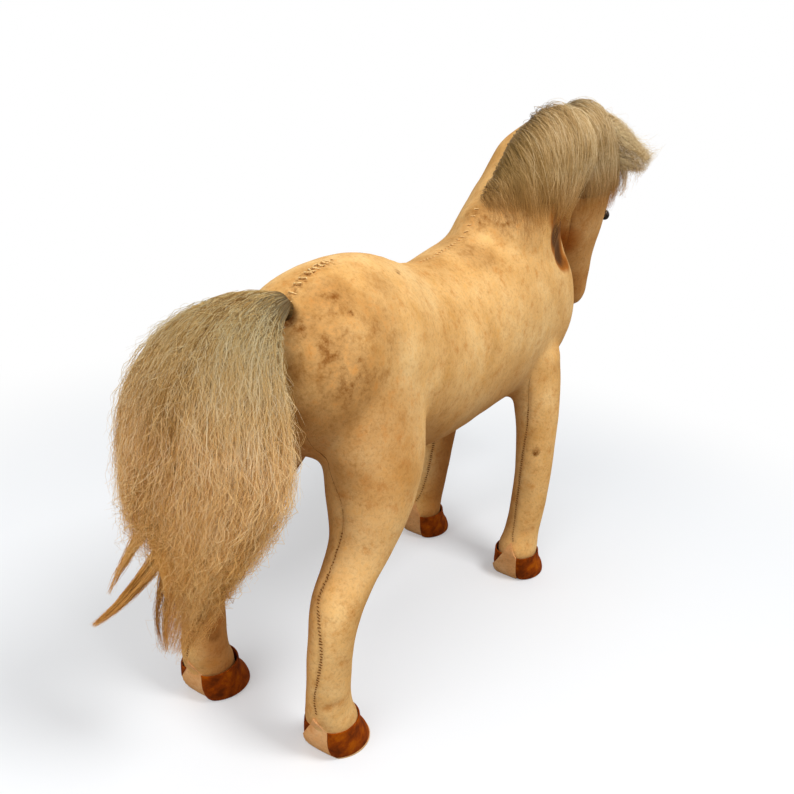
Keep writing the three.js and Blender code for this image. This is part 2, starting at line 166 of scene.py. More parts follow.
head = Form(
    [(0, -168 - 142 * ahead, 290 - 142 * down, 32 * depth, 22.5 * width) for ahead, down, depth, width in (
        (0.04, 0.06, 0.6, 0.68), (0.14, 0.2, 0.94, 0.98), (0.23, 0.36, 1.06, 1.1),
        (0.288, 0.52, 0.9, 0.92), (0.34, 0.68, 0.64, 0.66), (0.385, 0.8, 0.52, 0.56),
        (0.415, 0.9, 0.44, 0.5),
    )],
    caps=(9, 9),
)
hands = (("right", -1), ("left", 1))
legs = {}
for where, height, foot_back, spread, stagger, shares in (
    ("fore", 150, -109, 38, -3, (
        (0.62, -0.42, 1.0, 1.8, 1.5), (0.8, -0.42, 0.82, 1.42, 1.34), (0.92, -0.36, 0.66, 1.12, 1.16),
        (0.98, -0.32, 0.5, 1.03, 1.07), (1.0, -0.26, 0.34, 0.99, 1.03), (1.0, -0.14, 0.2, 1.0, 1.02),
    )),
    ("hind", 186, 108, 37.5, 2, (
        (0.58, -1.3, 1.0, 2.3, 1.8), (0.74, -1.24, 0.84, 2.5, 1.95), (0.84, -1.1, 0.7, 2.05, 1.85),
        (0.93, -0.7, 0.575, 1.52, 1.35), (0.97, 0.0, 0.47, 1.24, 1.12), (1.0, 0.25, 0.37, 1.0, 0.98),
        (1.0, 0.25, 0.27, 0.96, 0.96), (1.0, 0.16, 0.16, 1.0, 1.0),
    )),
):
    for hand, side in hands:
        out, back = side * spread, foot_back + side * stagger
        rows = [
            (outward * out, back + behind * 25, up * height, depth * 12.5, width * 11)
            for outward, behind, up, depth, width in shares
        ] + [
            (out, back - ahead * 35, up * 26, depth * 17.5, width * 14.5)
            for ahead, up, depth, width in (
                (-0.02, 0.78, 0.83, 0.88), (0.05, 0.45, 0.92, 0.94), (0.16, 0.2, 1.02, 1.02),
                (0.24, 0.0, 0.98, 1.0),
            )
        ]
        legs[f"{where}_%s_{hand}"] = Form(rows, caps=(8, 1.4), level=True)


def final_mesh(thing):
    """A copy of the mesh that an object has once its modifiers or its section have shaped it."""
    return bpy.data.meshes.new_from_object(thing.evaluated_get(bpy.context.evaluated_depsgraph_get()))


def baked(name, bm, *finish):
    """Makes an object of a bmesh, or of a mesh, and applies the modifiers that finish it."""
    mesh = bm
    if isinstance(bm, bmesh.types.BMesh):
        mesh = bpy.data.meshes.new(name)
        bmesh.ops.recalc_face_normals(bm, faces=bm.faces)
        bm.to_mesh(mesh)
        bm.free()
    made = bpy.data.objects.new(name, mesh)
    scene.collection.objects.link(made)
    for kind, settings in finish:
        modifier = made.modifiers.new(kind, kind)
        for key, value in settings.items():
            setattr(modifier, key, value)
    if finish:
        made.data = final_mesh(made)
        made.modifiers.clear()
        bpy.data.meshes.remove(mesh)
        made.data.name = name
    made.data.polygons.foreach_set("use_smooth", [True] * len(made.data.polygons))
    return made


def mark(piece, **marks):
    """Stores values on a piece, one for each of its vertices or one for them all."""
    for key, values in marks.items():
        if not isinstance(values, list):
            values = [values] * len(piece.data.vertices)
        piece.data.attributes.new(key, "FLOAT", "POINT").data.foreach_set("value", values)


def inside_boot(height):
    """How far the cover swells at a height: it is drawn in where the foot's felts lie over it."""
    return 0.2 - 1.7 * held((20 - height) / 4)


def square_heel(verts, form):
    """Presses a foot flat across its heel, as the straight cut of the sole does."""
    heel_top = 25
    for vert in verts:
        height = vert.co.z * 1000
        if height < heel_top:
            row = glide(form.rows, form.share_at(height))
            past = vert.co.y - spot(0, row[1] + row[3] * 0.8, 0).y
            vert.co.y -= max(0, past) * 0.85 * min((heel_top - height) / 6, 1)


# A small roll of stuffing closes the hollow between the neck and the jaw.
throat = Form([(0, -150, 258, 9, 9), (0, -151, 246, 10, 10), (0, -152, 234, 10, 10), (0, -154, 222, 8, 9)])
cover = bmesh.new()
roll_sheet(cover, torso, 72, 80)
roll_sheet(cover, neck, 60, 40)
roll_sheet(cover, head, 60, 50)
roll_sheet(cover, throat, 24, 16)
for leg in legs.values():
    square_heel(roll_sheet(cover, leg, 40, 60, inside_boot), leg)
for vert in cover.verts:
    vert.co.z = max(vert.co.z, 0.0018)
finer = ("SUBSURF", {"levels": 1, "render_levels": 1})
skin = baked(
    "felt_skin", cover,
    ("REMESH", {"mode": "VOXEL", "voxel_size": 0.0029, "use_smooth_shade": True}),
    ("SMOOTH", {"factor": 0.5, "iterations": 7}),
    finer,
)


def drawn_path(points, pitch):
    """Places every pitch along a smooth line through places in millimetres."""
    rows = np.array(points, float)
    steps = 600
    line = [Vector(glide(rows, index / steps)) for index in range(steps + 1)]
    places, gone = [line[0]], 0
    for before, after in zip(line, line[1:]):
        gone += (after - before).length
        if gone >= pitch:
            places.append(after)
            gone = 0
    return [spot(*place) for place in places]


# The lines of the cover's seams: down the back of each leg, and the dart that shapes the jaw.
hind_seam = (
    (-5, 126, 210), (-12, 128, 194), (-18, 123, 173), (-21, 111, 153), (-26, 105, 141), (-31.5, 104.5, 130),
    (-33, 105, 119), (-32, 108, 106), (-32.4, 115, 96), (-33, 118, 90), (-37, 122.5, 80), (-40, 124, 66),
    (-39.5, 124, 53), (-37.4, 123, 38), (-38.5, 122, 29),
)
fore_seam = (
    (-31, -97, 142), (-32, -98, 133), (-33.4, -100, 110), (-33.3, -102, 83), (-34.1, -101.6, 61),
    (-35.1, -100.3, 45), (-36.8, -97, 32), (-39, -95, 27),
)
jaw_dart = ((-14, -172, 231), (-12, -178, 221), (-10, -183, 212), (-5, -192, 197))
leg_lines = []
for line, slide in ((hind_seam, 4), (fore_seam, -6)):
    leg_lines.append(line)
    leg_lines.append([(-left, back + slide, up) for left, back, up in line])
dart_lines = [jaw_dart, [(-left, back, up) for left, back, up in jaw_dart]]

# Folds where the cover gives above the hooves and at the hocks.
fold_lines = [
    [(side * left, back + (0 if side < 0 else 4), up) for left, back, up in line]
    for side in (1, -1)
    for line in (
        ((-46, 112, 37), (-42, 119, 33), (-37, 121, 31), (-31, 119, 33)),
        ((-47, 98, 116), (-43, 106, 109), (-37, 110, 106), (-31, 108, 108)),
        ((-46, -108, 36), (-42, -99, 33), (-36, -97, 32), (-31, -99, 34)),
    )
]

# The felt is stained where hands held it, drawn in along its seams and folds, puckered along
# the closed back, sunk round the tail's slot, and a little lumpy over the imported stuffing.
# Painted shade darkens its seams, folds, pucker hollows and slot, and a darker brown is painted
# as shade under the belly, inside the legs and under the throat, and as a darker tone on the
# head and thighs. Each spot has a place, a reach and a strength.
soiled_spots = (
    (-15, 101, 224, 12, 0.62), (-22, 72, 225, 9, 0.3), (-30, 88, 214, 15, 0.42), (-13, 115, 213, 10, 0.6),
    (-25, 111, 207, 14, 0.62), (-33, 108, 194, 18, 0.62), (-20, 122, 200, 13, 0.45), (-28, 113, 178, 20, 0.4),
    (-42, 88, 178, 22, 0.28), (-35, 84, 206, 12, 0.35), (-38, 96, 190, 14, 0.4),
    (-24, 99, 219, 1.8, 1.5), (-22.5, 98, 218.5, 1.3, 1.3), (-16, 48, 226.5, 1.4, 1.4),
    (-14.5, 46, 227, 1.1, 1.2), (-36, 83, 202, 1.6, 0.9), (3, -44, 226, 12, 0.4), (-9, -38, 222, 12, 0.42),
    (-15, -44, 220, 10, 0.4), (-2, -8, 221, 14, 0.22), (-14, -68, 238, 12, 0.6), (-3, -58, 238, 9, 0.7),
    (-22, -84, 233, 14, 0.42), (-36, 108, 150, 12, 0.25), (-41.6, -102.8, 90.4, 2.3, 1.7),
    (-42, -100, 87, 1.7, 1.5), (-41, -105, 93, 1.7, 1.4), (27, 119, 43, 4, 1.0), (34, 100, 200, 22, 0.5),
    (33, 40, 200, 20, 0.4), (26, -110, 220, 20, 0.4), (0, -212, 165, 12, 0.5), (-24, -104, 40, 10, 0.3),
)
throat_hollows = [
    (side * left, back, up, reach, 1.0)
    for side in (-1, 1)
    for left, back, up, reach in ((26, -124, 224, 12), (25, -133, 214, 13), (21, -143, 229, 15))
]
# Spots of darker brown: painted shade in the hollow under the throat, and a darker tone on the head and
# thighs.
brown_and_shade_spots = (
    (-25, -116, 236, 9, 1.6), (-26, -125, 222, 11, 2.4), (-25, -135, 211, 11, 2.4), (-21, -143, 229, 13, 2.4),
    (-23, -141, 203, 7, 1.6), (-20, -158, 236, 16, 1.2), (-8, -184, 206, 16, 1.0), (-18, -188, 226, 42, 0.5),
    (-12, -204, 192, 36, 0.55), (24, -138, 222, 24, 0.6), (18, -188, 226, 42, 0.45),
    (12, -204, 192, 36, 0.45), (-4, -214, 170, 26, 0.75), (-42, 100, 150, 36, 0.32),
    (-40, 110, 124, 28, 0.28), (42, 100, 150, 36, 0.3),
)
slot = spot(-2.5, 119.5, 218)
closing_end, closing_pitch, closing_stitches, rump_front = 113, 3.3, 53, 80


def line_finder(lines):
    """A tree that finds how far a place is from the nearest of some lines."""
    places = [place for line in lines for place in drawn_path(line, 1)]
    finder = KDTree(len(places))
    for index, place in enumerate(places):
        finder.insert(place, index)
    finder.balance()
    return finder


def spotted(place, spots):
    """How strongly a place is marked by spots that fade out from their middles."""
    marked = 0
    for left, back, up, reach, strength in spots:
        away = (place - spot(left, back, up)).length * 1000 / reach
        marked = max(marked, strength * max(0, 1 - away * away / 1.7))
    return marked


seam_finder, fold_finder = line_finder(leg_lines + dart_lines), line_finder(fold_lines)
soil, deep_brown, shaped = [], [], []
for place, normal in [(vert.co.copy(), vert.normal.copy()) for vert in skin.data.vertices]:
    lump = noise.noise(place * 38) * 0.0007 + noise.noise(place * 95) * 0.00022
    x, y = place.x * 1000, (place.y - floor_point.y) * 1000
    shade = spotted(place, soiled_spots)
    # Painted shade: a darker brown under the belly and inside the legs, added to the spots.
    inner = max(0, -normal.x * math.copysign(1, x)) * held((165 - place.z * 1000) / 40)
    browned_and_shaded = max(spotted(place, brown_and_shade_spots), 0.9 * max(0, -normal.z), 0.8 * inner)
    lump -= 0.0035 * spotted(place, throat_hollows)
    _, _, seam_away = seam_finder.find(place)
    drawn = math.exp(-((seam_away * 1000 / 1.3) ** 2))
    _, _, fold_away = fold_finder.find(place)
    folded = math.exp(-((fold_away * 1000 / 2.2) ** 2))
    lump -= 0.0005 * drawn + 0.0006 * folded - 0.0004 * math.exp(-((fold_away * 1000 / 6) ** 2))
    # Painted shade along the drawn-in seams and in the folds.
    shade = max(shade, 0.3 * drawn)
    browned_and_shaded = max(browned_and_shaded, 0.3 * folded)
    if normal.z > 0.5 and -62 < y < closing_end and abs(x) < 9:
        firm = 1 if y > rump_front else 0.12 if y > 0 else 0.5
        pull = math.exp(-((x / 1.3) ** 2))
        stitch = (y - closing_end + 0.5 * x) / closing_pitch
        pucker = math.exp(-((x / 4) ** 2)) * math.cos(2 * math.pi * stitch)
        lump += (-0.0006 * pull + 0.0007 * pucker) * firm
        # Painted shade along the closing seam and in the hollows between its puckers.
        shade = max(shade, firm * (0.3 * pull - 0.75 * min(pucker, 0)))
    near_slot = (place - slot).length * 1000
    if near_slot < 11 and normal.y > -0.2:
        sunk = max(0, 1 - (near_slot / 7.5) ** 2)
        lump -= 0.004 * sunk
        # Painted shade in the sunk slot.
        shade = max(shade, 2.2 * sunk)
    shaped.extend(place + normal * lump)
    soil.append(shade)
    deep_brown.append(min(browned_and_shaded, 2))
skin.data.vertices.foreach_set("co", shaped)
mark(skin, soil=soil, deep_brown=deep_brown)
skin.data.update()


def paint(code):
    """A hex colour as Blender's linear one."""
    channels = [int(code[index:index + 2], 16) / 255 for index in (1, 3, 5)]
    linear = [c / 12.92 if c <= 0.04045 else ((c + 0.055) / 1.055) ** 2.4 for c in channels]
    return (*linear, 1.0)


def grain(millimetres):
    """The scale of a noise whose marks are about so many millimetres across."""
    return 1000 / millimetres


def feed(tree, node, inputs):
    """Sets or links a node's inputs: a colour is given by its code, and another node is linked
    by its first output."""
    for key, value in inputs.items():
        if isinstance(value, bpy.types.Node):
            value = value.outputs[0]
        if isinstance(value, bpy.types.NodeSocket):
            tree.links.new(value, node.inputs[key])
        else:
            node.inputs[key].default_value = paint(value) if isinstance(value, str) else value


def add_node(tree, kind, inputs=(), ramp=(), **options):
    """Adds a node of a kind, with its options, its inputs and the colours of its ramp."""
    node = tree.nodes.new("ShaderNode" + kind)
    for key, value in options.items():
        setattr(node, key, value)
    feed(tree, node, dict(inputs))
    while ramp and len(node.color_ramp.elements) < len(ramp):
        node.color_ramp.elements.new(0.5)
    for index, (position, colour) in enumerate(ramp):
        node.color_ramp.elements[index].position = position
        node.color_ramp.elements[index].color = paint(colour)
    return node


def start_finish(name, **surface):
    """Starts a material and returns it with its nodes, its shader and the object's coordinates."""
    material = bpy.data.materials.new(name)
    material.use_nodes = True
    tree = material.node_tree
    shader = tree.nodes["Principled BSDF"]
    for key, value in surface.items():
        feed(tree, shader, {key.replace("_", " ").title().replace("Ior", "IOR"): value})
    return material, tree, shader, add_node(tree, "TexCoord").outputs["Object"]


def felt_finish(name, pale, middle, brown, soiled):
    """Pressed and brushed wool felt: matt, cloudy with age, flecked with fibres, stained where it
    was held, and darkened with painted shade where its marks say. Its fibres are drawn 1.6 mm across, coarser
    than life, so that they show."""
    material, tree, shader, place = start_finish(
        name, roughness=0.95, specular_ior_level=0.15,
        sheen_weight=0.12, sheen_roughness=0.5, sheen_tint="#f0c88a",
    )
    clouds = add_node(
        tree, "TexNoise", {"Vector": place, "Scale": grain(38), "Detail": 5, "Roughness": 0.62},
    )
    cloudy = add_node(
        tree, "ValToRGB", {"Fac": clouds}, ramp=((0.36, pale), (0.5, middle), (0.68, brown)),
    )
    # The deep_brown mark darkens the felt: painted shade, and a darker tone on the head and thighs.
    brown_and_shade_mark = add_node(tree, "Attribute", attribute_name="deep_brown")
    for least, brown_shade_colour in ((0.0, "#a9641f"), (1.0, "#512c0c")):
        depth = add_node(
            tree, "MapRange",
            {"Value": brown_and_shade_mark.outputs["Fac"], "From Min": least, "From Max": least + 1},
        )
        cloudy = add_node(tree, "MixRGB", {"Fac": depth, "Color1": cloudy, "Color2": brown_shade_colour})
    blotches = add_node(
        tree, "TexNoise", {"Vector": place, "Scale": grain(7), "Detail": 6, "Roughness": 0.72},
    )
    uneven = add_node(tree, "Math", {0: blotches, 1: 0.5}, operation="SUBTRACT")
    # The soil mark: real stains, and painted shade along seams, puckers and the slot.
    marks = add_node(tree, "Attribute", attribute_name="soil")
    patchy = add_node(tree, "Math", {0: uneven, 1: 5.0, 2: 0.85}, operation="MULTIPLY_ADD")
    stain_and_shade_amount = add_node(
        tree, "Math", {0: marks.outputs["Fac"], 1: patchy}, operation="MULTIPLY", use_clamp=True,
    )
    coat = add_node(tree, "MixRGB", {"Fac": stain_and_shade_amount, "Color1": cloudy, "Color2": soiled})
    worn = add_node(
        tree, "ValToRGB", {"Fac": blotches},
        ramp=((0.3, "#e6c8a0"), (0.5, "#ffffff"), (0.72, "#fff0d4")),
    )
    fibres = add_node(
        tree, "TexNoise", {"Vector": place, "Scale": grain(1.6), "Detail": 4, "Roughness": 0.7},
    )
    fleck = add_node(
        tree, "ValToRGB", {"Fac": fibres},
        ramp=((0.3, "#cdbfae"), (0.52, "#ffffff"), (0.75, "#fff3dc")),
    )
    for share, layer in ((0.8, worn), (0.5, fleck)):
        coat = add_node(
            tree, "MixRGB", {"Fac": share, "Color1": coat, "Color2": layer}, blend_type="MULTIPLY",
        )
    nap = add_node(tree, "Bump", {"Height": fibres, "Strength": 0.4, "Distance": 0.0005})
    dents = add_node(
        tree, "Bump", {"Height": blotches, "Normal": nap, "Strength": 0.3, "Distance": 0.0012},
    )
    feed(tree, shader, {"Base Color": coat, "Normal": dents})
    return material


def register(piece, slot_name, *finishes, body="root", nodes=()):
    """Gives a piece its materials, its body and the CAD's nodes it replaces. Its slot_name is not used."""
    for finish in finishes:
        piece.data.materials.append(finish)
    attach(piece, body)
    if nodes:
        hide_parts(*nodes)


felt = felt_finish("brushed wool felt", "#f2cb8e", "#e8ba79", "#d5a25e", "#84521f")
register(skin, "felt", felt, nodes=["torso", "neck", "head"] + [name % "leg" for name in legs])
skin_tree = BVHTree.FromObject(skin, bpy.context.evaluated_depsgraph_get())


def on_skin(place, lift):
    """The nearest place on the felt, raised off it by a lift."""
    near, normal, _, _ = skin_tree.find_nearest(place)
    return near + normal * lift


def below(left, back):
    """The place on the felt that a plumb line from above touches."""
    over_all = spot(left, back, 400)
    return skin_tree.ray_cast(over_all, Vector((0, 0, -1)))[0]


# Wires: four rods of drawn steel, buried in the stuffing of the legs. They keep their shape
# from the frame and only take a drawn finish, grey and lightly streaked.
steel, tree, shader, place = start_finish("drawn steel wire", roughness=0.35, metallic=1.0)
drawing = add_node(tree, "TexNoise", {"Vector": place, "Scale": grain(1.1), "Detail": 3})
streaked = add_node(tree, "ValToRGB", {"Fac": drawing}, ramp=((0.35, "#6f7173"), (0.65, "#a2a4a6")))
feed(tree, shader, {"Base Color": streaked})
for name in legs:
    finishes = frame["nodes"][name % "wire"].data.materials
    finishes.clear()
    finishes.append(steel)


# Seams: thread and drawn-in edges. The leg seams and jaw darts are fine and dark, with close
# ticks of brown thread, and the back is closed by hand with coarse overcast stitches.
def swept(name, curve):
    """The mesh of a curve, with its section carried along it."""
    holder = bpy.data.objects.new(name + "_line", curve)
    scene.collection.objects.link(holder)
    mesh = final_mesh(holder)
    bpy.data.objects.remove(holder)
    return mesh


def threads(name, lines, radius, sides):
    """Makes lines of places into one mesh of round thread, each with its own shares of radius."""
    curve = bpy.data.curves.new(name, "CURVE")
    curve.dimensions = "3D"
    curve.bevel_depth = radius
    curve.bevel_resolution = sides
    curve.use_fill_caps = True
    for line, widths in lines:
        spline = curve.splines.new("POLY")
        spline.points.add(len(line) - 1)
        spline.points.foreach_set("co", [value for place in line for value in (*place, 1)])
        spline.points.foreach_set("radius", widths)
    mesh = swept(name, curve)
    bm = bmesh.new()
    bm.from_mesh(mesh)
    bpy.data.meshes.remove(mesh)
    bmesh.ops.remove_doubles(bm, verts=bm.verts, dist=1e-7)
    return baked(name, bm)


def thread_finish(name, dark, light):
    """Twisted cotton: matt, with a fine mottle of two tones and a raised twist. The twist is
    drawn 0.7 mm long, about twice its size, so that it shows."""
    material, tree, shader, place = start_finish(name, roughness=0.9, specular_ior_level=0.2)
    twist = add_node(tree, "TexNoise", {"Vector": place, "Scale": grain(0.7), "Detail": 2})
    tone = add_node(tree, "ValToRGB", {"Fac": twist}, ramp=((0.35, dark), (0.65, light)))
    raised = add_node(tree, "Bump", {"Height": twist, "Strength": 0.4, "Distance": 0.0002})
    feed(tree, shader, {"Base Color": tone, "Normal": raised})
    return material


brown_thread = thread_finish("brown seam thread", "#5e3409", "#86551f")
felt_thread = thread_finish("felt-coloured closing thread", "#d2a462", "#eccb92")

seam_lines, tick_lines = [], []
ticks_top = 0.118
for points in leg_lines:
    line = [on_skin(place, -0.00008) for place in drawn_path(points, 1.5)]
    seam_lines.append((line, [1.0 if place.z > 0.105 else 0.7 for place in line]))
    for place in drawn_path(points, 1.4):
        if place.z > ticks_top:
            continue
        near, normal, _, _ = skin_tree.find_nearest(place)
        across = normal.cross(Vector((0, 0, 1))).normalized()
        reach = random.uniform(0.6, 0.95) * (1 if 0.05 < place.z < 0.1 else 0.6) / 1000
        slant = Vector((0, 0, random.uniform(-0.3, 0.3) / 1000))
        tick = [near - across * reach - slant, near, near + across * reach + slant]
        tick_lines.append(([on_skin(stop, 0.00016) for stop in tick], [0.7, 1.0, 0.7]))
for points in dart_lines:
    line = [on_skin(place, -0.00005) for place in drawn_path(points, 1.2)]
    seam_lines.append((line, [0.8] * len(line)))
for name, lines, radius in (("seam_lines", seam_lines, 0.00013), ("seam_stitches", tick_lines, 0.00026)):
    register(threads(name, lines, radius, 1), "thread", brown_thread)

overcast = []
for stitch in range(closing_stitches):
    back = closing_end - stitch * closing_pitch
    top = below(0.4, back)
    firm = 1 if back > rump_front else 0.5
    reach = random.uniform(1.7, 2.3) * firm / 1000
    slant = random.uniform(0.6, 1.1) * firm / 1000
    arch = [
        on_skin(top + Vector((share * reach, share * slant, 0.003)), 0.0003 if abs(share) < 0.9 else -0.0003)
        for share in (-1, -0.6, 0, 0.6, 1)
    ]
    arch[2].z = max(arch[2].z, (arch[1].z + arch[3].z) / 2 + 0.0001)
    if back > 78 or back < 0:
        width = 1 if firm == 1 else 0.6
        overcast.append((arch, [0.6 * width, width, 1.15 * width, width, 0.6 * width]))
loose_end = [on_skin(spot(*stop), 0.0006) for stop in ((9, 115, 224), (6, 117, 225), (3, 119, 226))]
overcast.append((loose_end, [0.9] * 3))
register(threads("back_stitches", overcast, 0.00042, 2), "thread", felt_thread)


# Toe panels: brown velvet, let in round each toe from one side of the heel to the other. Each
# is held by its top seam, where it stands proud of the leg like a lip.
def patch(bm, form, columns, rows, edge, low, high, swell):
    """Lays a sheet on a form: edge gives its angle for a share across it and a height."""
    sheet = bmesh.ops.create_grid(bm, x_segments=columns, y_segments=rows, size=1)["verts"]
    for vert in sheet:
        across, height = vert.co.x, low + (vert.co.y + 1) / 2 * (high - low)
        angle = edge(across, height, glide(form.rows, form.share_at(height))[4])
        vert.co = form.point(form.share_at(height), angle, swell(height, angle))
        vert.co.z = max(height, 0.3) / 1000


panel_top, tongue_tip = 18.5, 26.5


def tongue_width(side, height):
    """How far the heel's tongue reaches to the left or the right of its middle at a height."""
    if side > 0:
        return max(14 * (tongue_tip - height) / tongue_tip, 0.15)
    return min(5.6, max((tongue_tip - height) / 8.5 * 5.6, 0.15))


def panel_edge(across, height, half):
    """The panel runs round the toe from one edge of the tongue to the other."""
    return across * (math.pi - math.asin(min((tongue_width(across, height) + 0.2) / half, 0.95)))


def panel_swell(height, angle):
    """The panel stands proud along its top in front, and spreads a little on the floor."""
    lip = 0.8 * max(0, math.cos(angle)) ** 1.5 * max(0, (height - 9) / 9) ** 1.6
    return -0.2 + lip + 0.3 * math.exp(-((height - 1.5) / 1.5) ** 2)


turned_edge = ("BEVEL", {"width": 0.00025, "segments": 2, "limit_method": "ANGLE"})
velvet, tree, shader, place = start_finish(
    "brown cotton velvet", roughness=0.9, specular_ior_level=0.1,
    sheen_weight=0.25, sheen_roughness=0.35, sheen_tint="#b85408",
)
pile = add_node(tree, "TexNoise", {"Vector": place, "Scale": grain(7), "Detail": 5, "Roughness": 0.6})
brushed = add_node(
    tree, "ValToRGB", {"Fac": pile},
    ramp=((0.34, "#5e2400"), (0.52, "#8a3a00"), (0.7, "#ae5700")),
)
tufts = add_node(tree, "TexNoise", {"Vector": place, "Scale": grain(0.8), "Detail": 2})
plush = add_node(tree, "Bump", {"Height": tufts, "Strength": 0.5, "Distance": 0.0004})
feed(tree, shader, {"Base Color": brushed, "Normal": plush})
for name, leg in legs.items():
    bm = bmesh.new()
    patch(bm, leg, 48, 14, panel_edge, 0.9, panel_top, panel_swell)
    square_heel(bm.verts, leg)
    toe = baked(
        name % "toe_velvet", bm,
        ("SOLIDIFY", {"thickness": 0.0009, "offset": 1}), turned_edge, finer,
    )
    register(toe, "velvet", velvet, nodes=[name % "toe"])


# Soles: pale felt under each foot, with a tongue turned up the heel to a point on the back
# seam. The tongue lies flat across the heel, and its cut edges stay raw and lighter.
sole_felt = felt_finish("pressed pale felt", "#f0c08c", "#e6ad74", "#d3955c", "#a5703c")
raw_felt = felt_finish("cut edge of pale felt", "#f9dcb0", "#f0cb98", "#dcae78", "#b98b55")
rounded_edge = ("BEVEL", {"width": 0.0004, "segments": 2, "limit_method": "ANGLE"})
sole_depth = 0.0015


def tongue_edge(across, height, half):
    """The tongue spreads from the middle of the heel to both its edges."""
    return math.pi + across * math.asin(min(tongue_width(-across, height) / half, 0.95))


for name, leg in legs.items():
    bm = bmesh.new()
    patch(bm, leg, 12, 26, tongue_edge, 1.0, tongue_tip, lambda height, angle: 0.45)
    square_heel(bm.verts, leg)
    foot = leg.rows[-1]
    tongue_felt = baked(
        name % "heel_tongue", bm,
        ("SOLIDIFY", {"thickness": 0.0013, "offset": 1, "material_offset_rim": 1}), turned_edge,
    )
    bm = bmesh.new()
    bmesh.ops.create_circle(
        bm, cap_ends=True, segments=64, radius=1,
        matrix=Matrix.Translation(spot(foot[0], foot[1], 0)) @ Matrix.Diagonal(
            ((foot[4] + 0.3) / 1000, (foot[3] + 0.3) / 1000, 1, 1)
        ),
    )
    raised = bmesh.ops.extrude_face_region(bm, geom=bm.faces[:])["geom"]
    upper = [part for part in raised if isinstance(part, bmesh.types.BMVert)]
    bmesh.ops.translate(bm, vec=(0, 0, sole_depth), verts=upper)
    square_heel(bm.verts, leg)
    bmesh.ops.recalc_face_normals(bm, faces=bm.faces)
    for face in bm.faces:
        face.material_index = int(abs(face.normal.z) < 0.5)
    sole = baked(name % "sole_felt", bm, rounded_edge)
    for piece in (tongue_felt, sole):
        register(piece, "pale_felt", sole_felt, raw_felt, nodes=[name % "sole"])


# Eyes: black glass beads, polished, each drawn into the cheek by the shank behind it.
bead_black, tree, shader, place = start_finish(
    "polished black glass", roughness=0.12, specular_ior_level=0.3,
)
depth = add_node(tree, "TexNoise", {"Vector": place, "Scale": grain(3), "Detail": 2})
jet = add_node(tree, "ValToRGB", {"Fac": depth}, ramp=((0.3, "#060505"), (0.7, "#15110f")))
feed(tree, shader, {"Base Color": jet})
bead_radius = 0.0036
for hand, side in hands:
    seat = head.point(0.5, side * math.pi / 3.4, 0.7)
    inward = (spot(*glide(head.rows, 0.5)[:3]) - seat).normalized()
    bm = bmesh.new()
    bmesh.ops.create_uvsphere(
        bm, u_segments=32, v_segments=20, radius=bead_radius,
        matrix=Matrix.Translation(seat) @ inward.to_track_quat("Z", "Y").to_matrix().to_4x4()
        @ Matrix.Diagonal((1, 1, 0.9, 1)),
    )
    register(baked(f"eye_bead_{hand}", bm), "bead", bead_black, nodes=[f"eye_{hand}"])


# Ears: leaves of doubled brown felt, folded at the root and sewn to the temples, where they
# droop along the cheeks under the forelock.
ear_felt = felt_finish("doubled brown felt", "#a06a30", "#824f20", "#5e3814", "#3a220c")
for hand, side in hands:
    ear_form = Form(
        [(side * (21.5 + out * 24), -201 - ahead * 24, 263 - down * 24, 1.3, width * 7)
         for out, ahead, down, width in (
            (0.0, 0.0, 0.0, 0.6), (0.06, 0.12, 0.22, 0.95), (0.12, 0.26, 0.5, 0.95), (0.14, 0.38, 0.78, 0.6),
        )],
        caps=(3, 4), across=(side * 0.3, 1, -0.5),
    )
    bm = bmesh.new()
    _, _, broad, out = ear_form.station(0.5)
    middle = ear_form.point(0.5, 0, scale=0)
    for vert in roll_sheet(bm, ear_form, 28, 26):
        vert.co += out * (vert.co - middle).dot(broad) ** 2 * -40 * side
    ear = baked(f"ear_leaf_{hand}", bm, finer)
    register(ear, "felt", ear_felt, nodes=[f"ear_{hand}"])


# Mane: long goat's hair sewn along the crest of the neck, combed over its right side and cut
# to a level fringe. A bed of short hair hides the felt under the long hairs. Every hair is a
# tapered three-sided thread, drawn 0.14 to 0.38 mm thick, coarser than life, so that it shows.
hair_outline = bpy.data.curves.new("hair_outline", "CURVE")
ring = hair_outline.splines.new("POLY")
ring.points.add(2)
for point, turn in zip(ring.points, (0, 2 * math.pi / 3, 4 * math.pi / 3)):
    point.co = (math.cos(turn), math.sin(turn), 0, 1)
ring.use_cyclic_u = True
hair_section = bpy.data.objects.new("hair_section", hair_outline)
scene.collection.objects.link(hair_section)


def hair_bunch(name, hairs):
    """Makes hairs into a mesh. Each is a list of places, a thickness in millimetres, a tone and
    a share that tells how soon its dull root gives way to that tone."""
    curve = bpy.data.curves.new(name, "CURVE")
    curve.dimensions = "3D"
    curve.bevel_mode = "OBJECT"
    curve.bevel_object = hair_section
    tones, along = [], []
    for line, thickness, tone, clearing in hairs:
        count = len(line)
        spline = curve.splines.new("POLY")
        spline.points.add(count - 1)
        spline.points.foreach_set("co", np.column_stack([line, np.ones(count)]).ravel())
        steps = np.linspace(0, 1, count)
        spline.points.foreach_set("radius", thickness / 2000 * (1 - 0.8 * steps**2))
        tones += [tone] * (3 * count)
        along += list(np.repeat(steps * clearing, 3))
    made = baked(name, swept(name, curve))
    mark(made, tone=tones, along=along)
    return made


